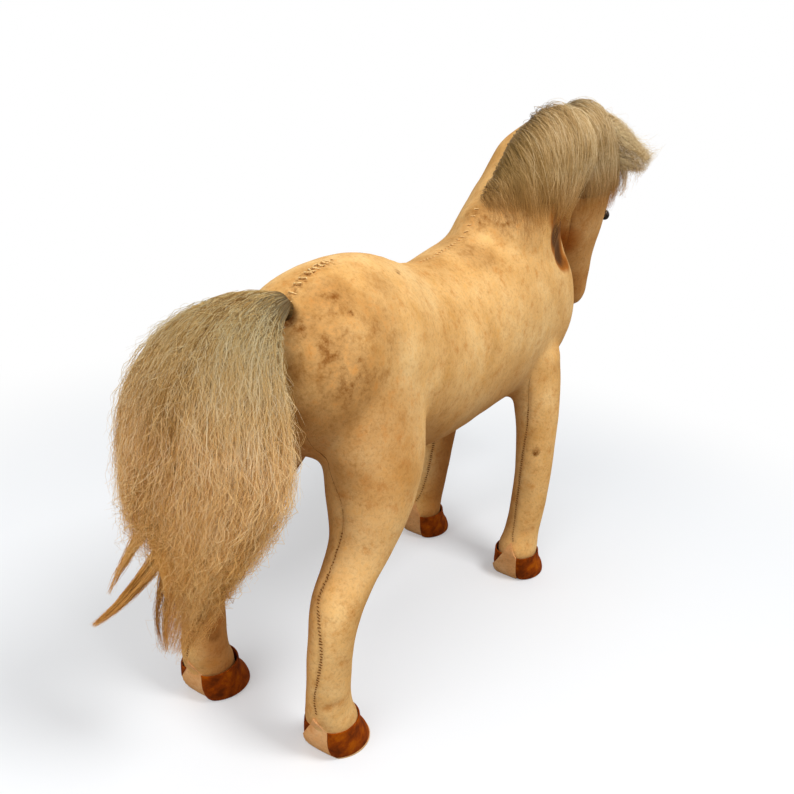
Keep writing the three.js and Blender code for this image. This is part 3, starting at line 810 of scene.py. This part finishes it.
def hair_finish(name, root, rooted, shades, casts, low, high, sheerness):
    """Combed goat's hair, half matt: each hair has one of the shades and is duller at its root,
    age has cast the whole warmer from one height to another, and it lets some light by."""
    material, tree, shader, place = start_finish(name, roughness=0.55, specular_ior_level=0.3)
    tone = add_node(tree, "Attribute", attribute_name="tone")
    streaks = add_node(tree, "TexNoise", {"Vector": place, "Scale": grain(14), "Detail": 3})
    mixed = add_node(tree, "Math", {0: streaks, 1: 0.6, 2: tone.outputs["Fac"]}, operation="MULTIPLY_ADD")
    shifted = add_node(tree, "Math", {0: mixed, 1: 0.3}, operation="SUBTRACT")
    shade = add_node(tree, "ValToRGB", {"Fac": shifted}, ramp=shades)
    along = add_node(tree, "Attribute", attribute_name="along")
    grown = add_node(
        tree, "MapRange",
        {"Value": along.outputs["Fac"], "From Max": rooted, "To Min": 0.8, "To Max": 0.0},
    )
    dulled = add_node(tree, "MixRGB", {"Fac": grown, "Color1": shade, "Color2": root})
    height = add_node(tree, "SeparateXYZ", {"Vector": place})
    level = add_node(
        tree, "MapRange",
        {"Value": height.outputs["Z"], "From Min": low / 1000, "From Max": high / 1000},
    )
    cast = add_node(tree, "ValToRGB", {"Fac": level}, ramp=casts)
    aged = add_node(tree, "MixRGB", {"Fac": 1.0, "Color1": dulled, "Color2": cast}, blend_type="MULTIPLY")
    feed(tree, shader, {"Base Color": aged})
    rays = add_node(tree, "LightPath")
    sheer = add_node(tree, "Math", {0: rays.outputs["Is Shadow Ray"], 1: sheerness}, operation="MULTIPLY")
    clear = add_node(tree, "BsdfTransparent")
    let_through = add_node(tree, "MixShader", {"Fac": sheer, 1: shader, 2: clear})
    feed(tree, tree.nodes["Material Output"], {"Surface": let_through})
    return material


def fringe(back):
    """The height of the mane's cut edge, which rises over the cheek and towards the withers."""
    cheek = held((-150 - back) / 20)
    return 237 - 5 * cheek + max(0, -183 - back) * 0.3 + max(0, back + 95) * 0.35


mane_hair = hair_finish(
    "combed mane hair", "#54401c", 0.22,
    ((0.0, "#86652f"), (0.35, "#b08b50"), (0.65, "#d2b07a"), (1.0, "#f2deb2")),
    ((0.0, "#f6d6a4"), (0.4, "#ffffff"), (1.0, "#ffffff")), low=235, high=300, sheerness=0.62,
)
bed = bmesh.new()
bed.from_mesh(skin.data)
bed_depth = 0.0012
outside = []
for face in bed.faces:
    centre = face.calc_center_median()
    back, up = (centre.y - floor_point.y) * 1000, centre.z * 1000
    crest = 0.002 + 0.004 * held((-90 - back) / 60)
    combed = centre.x < crest and -196 < back < -68 and up > fringe(back) + 7
    if not combed or (centre.x > -0.004 and face.normal.z < 0.1):
        outside.append(face)
bmesh.ops.delete(bed, geom=outside, context="FACES")
normals = {vert: vert.normal.copy() for vert in bed.verts}
for vert, normal in normals.items():
    vert.co += normal * bed_depth
mane_bed = baked("mane_bed", bed, ("SOLIDIFY", {"thickness": bed_depth, "offset": -1}))
mark(mane_bed, tone=0.25, along=0.1)
register(mane_bed, "mohair", mane_hair, nodes=["mane"])


def comb_hair(points, spread, waves, stand):
    """One hair of the mane: it stands up from the crest and is combed down over the felt."""
    back = -66 - 129 * random.random() ** 0.8
    poll = held((-90 - back) / 60)
    root = below(random.uniform(-4, 2.4 + 3.5 * poll), back)
    if root is None:
        return None
    layer = random.random()
    end = fringe(back) + random.uniform(-6, 5) + spread * random.random() ** 3 - 15 * random.random() ** 4
    fall = max(root.z * 1000 - end, 4) + 6
    drift = random.gauss(0, 0.2) - 0.3 * held((-150 - back) / 40)
    comb = Vector((-0.55, drift, -1))
    place, line = root.copy(), []
    phase, wave, turns = random.uniform(0, 6.28), random.uniform(*waves), random.uniform(7, 20)
    nape = 7.5 * math.exp(-(((back + 150) / 22) ** 2))
    high = (2.0 + 1.8 * poll + nape + 6.0 * layer) * (stand + (1 - stand) * poll)
    for index in range(points):
        share = index / (points - 1)
        near, normal, _, _ = skin_tree.find_nearest(place)
        rise = (0.4 + high * math.sin(min(share * 2.4, 1) * math.pi / 2) * (1 - 0.75 * share**1.5)) / 1000
        wobble = Vector((0.3, 1, 0.2)) * math.sin(phase + share * turns) * wave * share / 1000
        line.append(near + normal * rise + wobble)
        slide = comb - normal * comb.dot(normal)
        place = near + slide.normalized() * fall / (points - 1) / 1000
    shade = 0.2 + 0.44 * poll + 0.25 * (layer - 0.5)
    tone = held(random.gauss(shade, 0.18))
    return line, random.uniform(0.14, 0.28), tone, random.uniform(0.35, 0.7) + 0.4 * poll


under = [hair for hair in (comb_hair(11, 16, (0.4, 1.3), 0.75) for _ in range(3250)) if hair]
over = [hair for hair in (comb_hair(18, 26, (0.8, 2.6), 0.95) for _ in range(1700)) if hair]
for name, hairs in (("mane_hair", under), ("mane_top_hair", over)):
    register(hair_bunch(name, hairs), "mohair", mane_hair, nodes=["mane"])


# Forelock: the hair of the poll, brushed forward and to the right over the eye, with a few
# curls that hang behind the ear.
def hank_hairs(form, count, clumps, ends, wave, solid, arc=(0, 2 * math.pi), tone=(0.0, 0.12),
               thick=(0.16, 0.32), points=11, flare=0.0, turns=(5, 14), left_end=2.0, starts=(0, 0),
               right_root_shade=1.0):
    """Hairs that run along a form in clumps, spread at the root and drawn together to the tip.
    Those on its left stop near left_end, and those on its right can keep their dark root for longer as
    painted shade. Hairs that start along the form, and not at its root, are loose ones that kink all their
    way."""
    cuts, left_middle = 150, 0.68 * math.pi
    stations = [form.station(index / cuts) for index in range(cuts + 1)]
    steps = np.linspace(0, 1, cuts + 1)
    columns = np.array([[*row, *side, *top] for row, _, side, top in stations])
    centres = [
        (random.uniform(*arc), solid + (0.98 - solid) * random.random() ** 0.5, random.random())
        for _ in range(clumps)
    ]
    loose = starts[1] > 0
    made = []
    for _ in range(count):
        angle, out, clump_tone = random.choice(centres)
        shares = np.linspace(0, 1, points)
        close = 1 - 0.6 * shares
        where = angle + random.gauss(0, 0.3) * close
        start = random.uniform(*starts)
        end = min(start + random.uniform(*ends), 1)
        if math.cos(where[-1] - left_middle) > 0.28:
            end = min(end, left_end * random.uniform(0.82, 1.04))
        if end < start + 0.06:
            continue
        at = np.array([np.interp(start + shares * (end - start), steps, column) for column in columns.T])
        far = out + random.gauss(0, 0.1) * close + flare * random.random() * shares
        far = np.clip(far, 0.05, 1.2 if loose else 1.08)
        growth = np.minimum(shares * 4, 1) if loose else shares
        sway, lift = (
            abs(random.gauss(0, wave)) * growth
            * np.sin(random.uniform(0, 6.28) + random.uniform(*turns) * shares)
            for _ in range(2)
        )
        lean = 0
        if loose:
            lean = min(max(random.gauss(0, 14), -20), 20) * (1 - 0.9 * abs(math.sin(where[-1]))) * shares**1.5
        line = at[0:3] + at[5:8] * (at[4] * far * np.sin(where) + sway + lean)
        line += at[8:11] * (at[3] * far * np.cos(where) + lift)
        lock_tone = noise.noise(Vector((2 * math.cos(angle), 2 * math.sin(angle), 3.1)))
        hair_tone = 0.55 * clump_tone + 0.45 * random.random() + 0.5 * lock_tone + random.gauss(*tone)
        # Painted shade: hairs on the hank's right keep their dark root further along.
        clearing = right_root_shade if math.sin(angle) < -0.4 and not loose else 1.0 + loose
        made.append((
            line.T / 1000 + np.array(floor_point), random.uniform(*thick), held(hair_tone), clearing,
        ))
    return made


forelock = Form(
    [(out * 56, -188 - ahead * 56, 290 - down * 56, depth * 9, width * 14)
     for out, ahead, down, depth, width in (
        (0.1, -0.15, 0.08, 0.9, 0.9), (-0.18, 0.18, 0.22, 1.0, 1.0), (-0.4, 0.4, 0.36, 0.84, 0.8),
        (-0.6, 0.57, 0.48, 0.5, 0.5), (-0.73, 0.69, 0.56, 0.2, 0.2),
    )],
    caps=(1, 2), across=(1, 0.8, 0),
)
curls = Form([
    (-20, -206, 268, 3.2, 5), (-24, -214, 258, 3.4, 5.5), (-26, -219, 247, 3, 5), (-25, -221, 236, 2.2, 3.5),
])
forelock_hairs = hank_hairs(
    forelock, 1300, 60, (0.4, 1.0), 2.6, 0.2, flare=0.6, tone=(0.4, 0.14), points=13, turns=(6, 22),
)
forelock_hairs += hank_hairs(
    forelock, 700, 80, (0.2, 0.5), 1.3, 0.7, flare=0.6, tone=(0.55, 0.14), points=14,
    turns=(14, 26), starts=(0.1, 0.7), thick=(0.14, 0.24),
)
forelock_hairs += hank_hairs(
    curls, 280, 14, (0.5, 1.0), 2.2, 0.2, tone=(0.3, 0.12), points=16, turns=(10, 20),
)
register(hair_bunch("forelock_hair", forelock_hairs), "mohair", mane_hair, nodes=["forelock"])


# Tail root: the hank's end, whipped round with dark thread and sewn into the slot of the rump.
plug_axis = Vector((0, math.cos(math.pi / 5), math.sin(math.pi / 5)))
bm = bmesh.new()
buried, knot_radius, steps = 13, 4.4, 52
outline = [bm.verts.new(tail_bend - plug_axis * buried / 1000)]
for index in range(steps + 1):
    share = index / steps
    round_off = math.sqrt(max(0, 1 - max(0, (share - 0.72) / 0.28) ** 2))
    radius = (knot_radius + 0.3 * math.cos(index * math.pi / 2)) * round_off
    along = -buried + (buried + knot_radius) * share
    outline.append(bm.verts.new(tail_bend + (plug_axis * along + Vector((radius, 0, 0))) / 1000))
for before, after in zip(outline, outline[1:]):
    bm.edges.new((before, after))
bmesh.ops.spin(
    bm, geom=bm.verts[:] + bm.edges[:], cent=tail_bend, axis=plug_axis,
    angle=2 * math.pi, steps=32, use_merge=True,
)
bmesh.ops.remove_doubles(bm, verts=bm.verts, dist=1e-6)
dark_thread = thread_finish("dark whipping thread", "#3d2a12", "#6f5428")
register(baked("tail_whipping", bm), "thread", dark_thread, nodes=["tail_root"])


# Tail: a thick hank of goat's hair that springs from the slot, arches back and falls to the
# left hock. Packed hair lies at its heart, long hairs hang round it in locks, and short
# kinked hairs stand off it, most of them on its right side.
tail_hair = hair_finish(
    "combed tail hair", "#4d3a1a", 0.07,
    ((0.0, "#a27a40"), (0.3, "#ddb876"), (0.6, "#f4d8a4"), (0.85, "#fdebc2"), (1.0, "#fff6de")),
    ((0.0, "#f6cb8e"), (0.35, "#fcdca8"), (0.7, "#ffeed6"), (1.0, "#cdc6b0")),
    low=60, high=222, sheerness=0.76,
)


def hank(shares):
    """A form of the tail. Its rows are shares of the tail's reach, fall, depth and width."""
    return Form(
        [(out * 84, 118 + back * 38, 221 - down * 180, depth * 20, width * 42)
         for out, back, down, depth, width in shares],
        caps=(0.3, 7),
    )


tail = hank((
    (0.0, 0.0, -0.003, 0.24, 0.14), (0.0, 0.5, 0.0, 0.38, 0.38), (0.01, 0.88, 0.06, 0.6, 0.62),
    (0.03, 1.03, 0.17, 0.82, 0.84), (0.07, 1.03, 0.32, 0.94, 0.95), (0.12, 1.06, 0.47, 0.92, 0.81),
    (0.165, 1.07, 0.59, 0.8, 0.63), (0.225, 1.0, 0.74, 0.6, 0.43), (0.28, 1.0, 0.89, 0.35, 0.26),
))
long_lock = hank((
    (0.06, 1.05, 0.3, 0.3, 0.2), (0.14, 1.08, 0.45, 0.3, 0.15), (0.28, 1.2, 0.62, 0.22, 0.1),
    (0.45, 1.42, 0.76, 0.12, 0.05), (0.58, 1.58, 0.837, 0.03, 0.015),
))
thin_lock = hank((
    (0.22, 1.1, 0.35, 0.25, 0.12), (0.3, 1.18, 0.47, 0.2, 0.09), (0.38, 1.26, 0.57, 0.12, 0.05),
    (0.46, 1.36, 0.66, 0.06, 0.025), (0.52, 1.45, 0.745, 0.02, 0.01),
))
hock_lock = hank((
    (0.12, 1.03, 0.42, 0.3, 0.2), (0.19, 1.03, 0.57, 0.26, 0.15), (0.27, 1.02, 0.71, 0.2, 0.1),
    (0.33, 1.0, 0.83, 0.12, 0.06), (0.31, 0.98, 0.93, 0.04, 0.02),
))
heart = Form(tail.rows[:8], caps=(0.3, 7))
bm = bmesh.new()
for vert in roll_sheet(bm, heart, 90, 80):
    row = glide(heart.rows, heart.share_at(vert.co.z * 1000))
    furrow = noise.noise(Vector((vert.co.x * 260, vert.co.y * 260, vert.co.z * 22)))
    thin = 0.28 + 0.5 * held((0.135 - vert.co.z) / 0.06)
    vert.co += (vert.co - spot(*row[:3])) * (-thin + 0.16 * furrow)
tail_heart = baked("tail_heart", bm)
mark(tail_heart, tone=0.3, along=0.5)
register(tail_heart, "mohair", tail_hair, body="tail", nodes=["tail_hair"])

back_side, right_side = (math.pi * 0.4, math.pi * 1.6), (math.pi * 0.9, math.pi * 1.7)
tail_bunches = {
    "tail_under_hair": hank_hairs(
        tail, 3500, 120, (0.6, 1.0), 0.9, 0.5, tone=(-0.05, 0.14), thick=(0.22, 0.38),
        points=10, left_end=0.72, right_root_shade=0.15,
    ),
    "tail_long_hair": hank_hairs(
        tail, 2700, 170, (0.62, 1.0), 1.3, 0.74, arc=back_side, tone=(0.15, 0.17),
        points=13, flare=0.12, turns=(6, 15), left_end=0.73, right_root_shade=0.15,
    ),
    "tail_kinked_hair": hank_hairs(
        tail, 2100, 300, (0.12, 0.34), 2.1, 0.9, arc=right_side, tone=(0.22, 0.18), thick=(0.15, 0.27),
        points=16, flare=0.25, turns=(14, 30), starts=(0.1, 0.72), left_end=0.76,
    ),
    "tail_stray_hair": hank_hairs(
        tail, 2000, 300, (0.12, 0.32), 1.4, 0.92, arc=back_side, tone=(0.4, 0.16), thick=(0.15, 0.26),
        points=15, flare=0.25, turns=(12, 28), starts=(0.1, 0.66), left_end=0.76,
    ),
    "tail_locks": hank_hairs(long_lock, 700, 10, (0.7, 1.0), 0.8, 0.1, points=13, flare=0.25)
    + hank_hairs(thin_lock, 260, 6, (0.6, 1.0), 1.0, 0.1, points=13, flare=0.3)
    + hank_hairs(hock_lock, 420, 8, (0.6, 1.0), 1.0, 0.1, tone=(-0.2, 0.12), points=12, flare=0.3)
    + hank_hairs(
        tail, 700, 120, (0.5, 0.85), 2.0, 0.88, arc=(math.pi * 0.4, math.pi),
        points=14, flare=0.2, left_end=0.74,
    ),
}
for name, hairs in tail_bunches.items():
    register(hair_bunch(name, hairs), "mohair", tail_hair, body="tail", nodes=["tail_hair"])
bpy.data.objects.remove(hair_section)


# Studio: a white floor that keeps the horse's shadow near it and runs out into plain white,
# a pale room, and soft lamps above and to the camera's right.
bm = bmesh.new()
bmesh.ops.create_grid(bm, x_segments=1, y_segments=1, size=8)
floor = baked("studio_floor", bm)
floor_white, tree, shader, place = start_finish("white studio floor", roughness=1.0, specular_ior_level=0.0)
seen = add_node(tree, "LightPath")
distance = add_node(tree, "VectorMath", {0: place}, operation="LENGTH")
away = add_node(
    tree, "MapRange",
    {"Value": distance.outputs["Value"], "From Min": 0.25, "From Max": 0.49, "To Min": 0.25, "To Max": 1.0},
    interpolation_type="SMOOTHSTEP",
)
glow = add_node(tree, "Math", {0: seen.outputs["Is Camera Ray"], 1: away}, operation="MULTIPLY")
paper = add_node(
    tree, "MixRGB",
    {"Fac": seen.outputs["Is Camera Ray"], "Color1": "#a5a29c", "Color2": "#eef2f7"},
)
plain = add_node(tree, "MixRGB", {"Fac": glow, "Color1": paper, "Color2": "#000000"})
feed(tree, shader, {"Base Color": plain, "Emission Color": (1, 1, 1, 1), "Emission Strength": glow})
floor.data.materials.append(floor_white)

studio = bpy.data.worlds.new("studio")
scene.world = studio
studio.use_nodes = True
tree = studio.node_tree
seen = add_node(tree, "LightPath")
direct = add_node(
    tree, "Math", {0: seen.outputs["Is Camera Ray"], 1: seen.outputs["Is Glossy Ray"]},
    operation="MAXIMUM",
)
white = add_node(tree, "Math", {0: direct, 1: seen.outputs["Is Transmission Ray"]}, operation="MAXIMUM")
strength = add_node(tree, "MapRange", {"Value": white, "To Min": 0.42, "To Max": 1.0})
feed(tree, tree.nodes["Background"], {"Color": (1, 1, 1, 1), "Strength": strength})


def soft_lamp(name, place, target, size, power):
    """Hangs a square lamp at a place and turns it to its target."""
    lamp = bpy.data.objects.new(name, bpy.data.lights.new(name, "AREA"))
    lamp.data.size = size
    lamp.data.energy = power
    lamp.data.color = (1.0, 0.985, 0.96)
    aim = (target - place).to_track_quat("-Z", "Y")
    lamp.matrix_world = Matrix.Translation(place) @ aim.to_matrix().to_4x4()
    scene.collection.objects.link(lamp)


middle = Vector((0, 0, 0.13))
key_place = middle + camera_right * 0.7 + camera_back * 0.5 + Vector((0, 0, 1.1))
fill_place = middle - camera_right * 0.55 + camera_back * 1.1 + Vector((0, 0, 0.55))
soft_lamp("key", key_place, middle, size=0.55, power=15.5)
soft_lamp("fill", fill_place, middle, size=1.0, power=11)
scene.view_settings.view_transform = "Standard"
